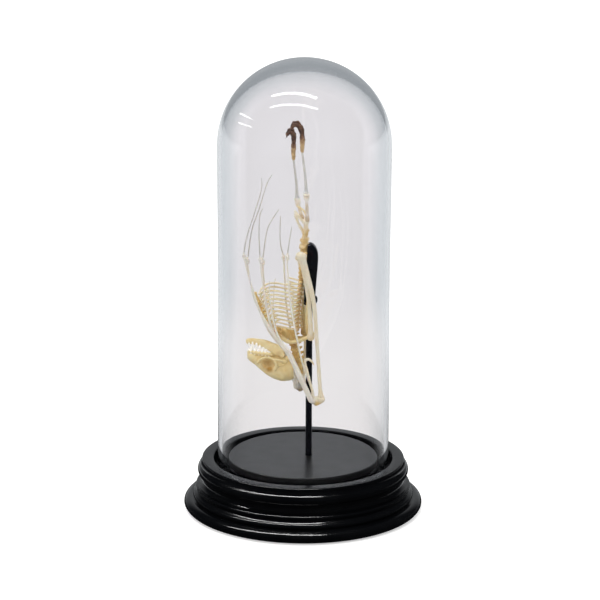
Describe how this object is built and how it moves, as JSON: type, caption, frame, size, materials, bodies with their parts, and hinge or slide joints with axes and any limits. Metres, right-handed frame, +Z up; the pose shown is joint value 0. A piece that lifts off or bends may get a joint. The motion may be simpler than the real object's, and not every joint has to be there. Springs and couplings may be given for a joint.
{
  "type": "bell jar dome",
  "caption": "Tall clear glass dome with a round top, standing in the groove of a turned round base, over a small bat skeleton mounted head down on a thin rod.",
  "frame": {"origin": "middle of the felt pad's underside, on the surface that the base stands on", "axes": "+Z up along the dome's axis; the skeleton hangs head down and faces -X, with its right wing and leg at -Y"},
  "size_m": [0.1044, 0.1044, 0.1998],
  "materials": {
    "black_lacquer": "gloss black lacquer",
    "satin_black": "satin black paint",
    "black_felt": "felt",
    "clear_glass": "clear, polished",
    "black_painted_steel": "black paint",
    "zinc_steel": "zinc plated",
    "dry_bone": "dry matt bone",
    "dried_skin": "dried dark skin and claws"
  },
  "bodies": {
    "base": {"base_felt": "black_felt", "cervical_spine": "dry_bone", "clamp_screw": "black_painted_steel", "cranium": "dry_bone", "display_floor": "satin_black", "left_carpus": "dry_bone", "left_clavicle": "dry_bone", "left_digit_2": "dry_bone", "left_digit_3": "dry_bone", "left_digit_4": "dry_bone", "left_digit_5": "dry_bone", "left_femur": "dry_bone", "left_foot": "dried_skin", "left_humerus": "dry_bone", "left_radius": "dry_bone", "left_scapula": "dry_bone", "left_thumb": "dry_bone", "left_tibia": "dry_bone", "lumbar_spine": "dry_bone", "mandible": "dry_bone", "pelvis": "dry_bone", "right_carpus": "dry_bone", "right_clavicle": "dry_bone", "right_digit_2": "dry_bone", "right_digit_3": "dry_bone", "right_digit_4": "dry_bone", "right_digit_5": "dry_bone", "right_femur": "dry_bone", "right_foot": "dried_skin", "right_humerus": "dry_bone", "right_radius": "dry_bone", "right_scapula": "dry_bone", "right_thumb": "dry_bone", "right_tibia": "dry_bone", "rod_nut": "zinc_steel", "rod_washer": "zinc_steel", "specimen_saddle": "black_painted_steel", "sternum": "dry_bone", "support_rod": "black_painted_steel", "tail_vertebrae": "dry_bone", "thoracic_segment_01": "dry_bone", "thoracic_segment_02": "dry_bone", "thoracic_segment_03": "dry_bone", "thoracic_segment_04": "dry_bone", "thoracic_segment_05": "dry_bone", "thoracic_segment_06": "dry_bone", "thoracic_segment_07": "dry_bone", "thoracic_segment_08": "dry_bone", "thoracic_segment_09": "dry_bone", "thoracic_segment_10": "dry_bone", "thoracic_segment_11": "dry_bone", "thoracic_segment_12": "dry_bone", "turned_base": "black_lacquer"},
    "dome": {"glass_dome": "clear_glass"}
  },
  "joints": [
    {"name": "dome_lift", "type": "slide", "parent": "base", "child": "dome", "axis": [0, 0, 1], "range_m": [0, 0.165]}
  ]
}
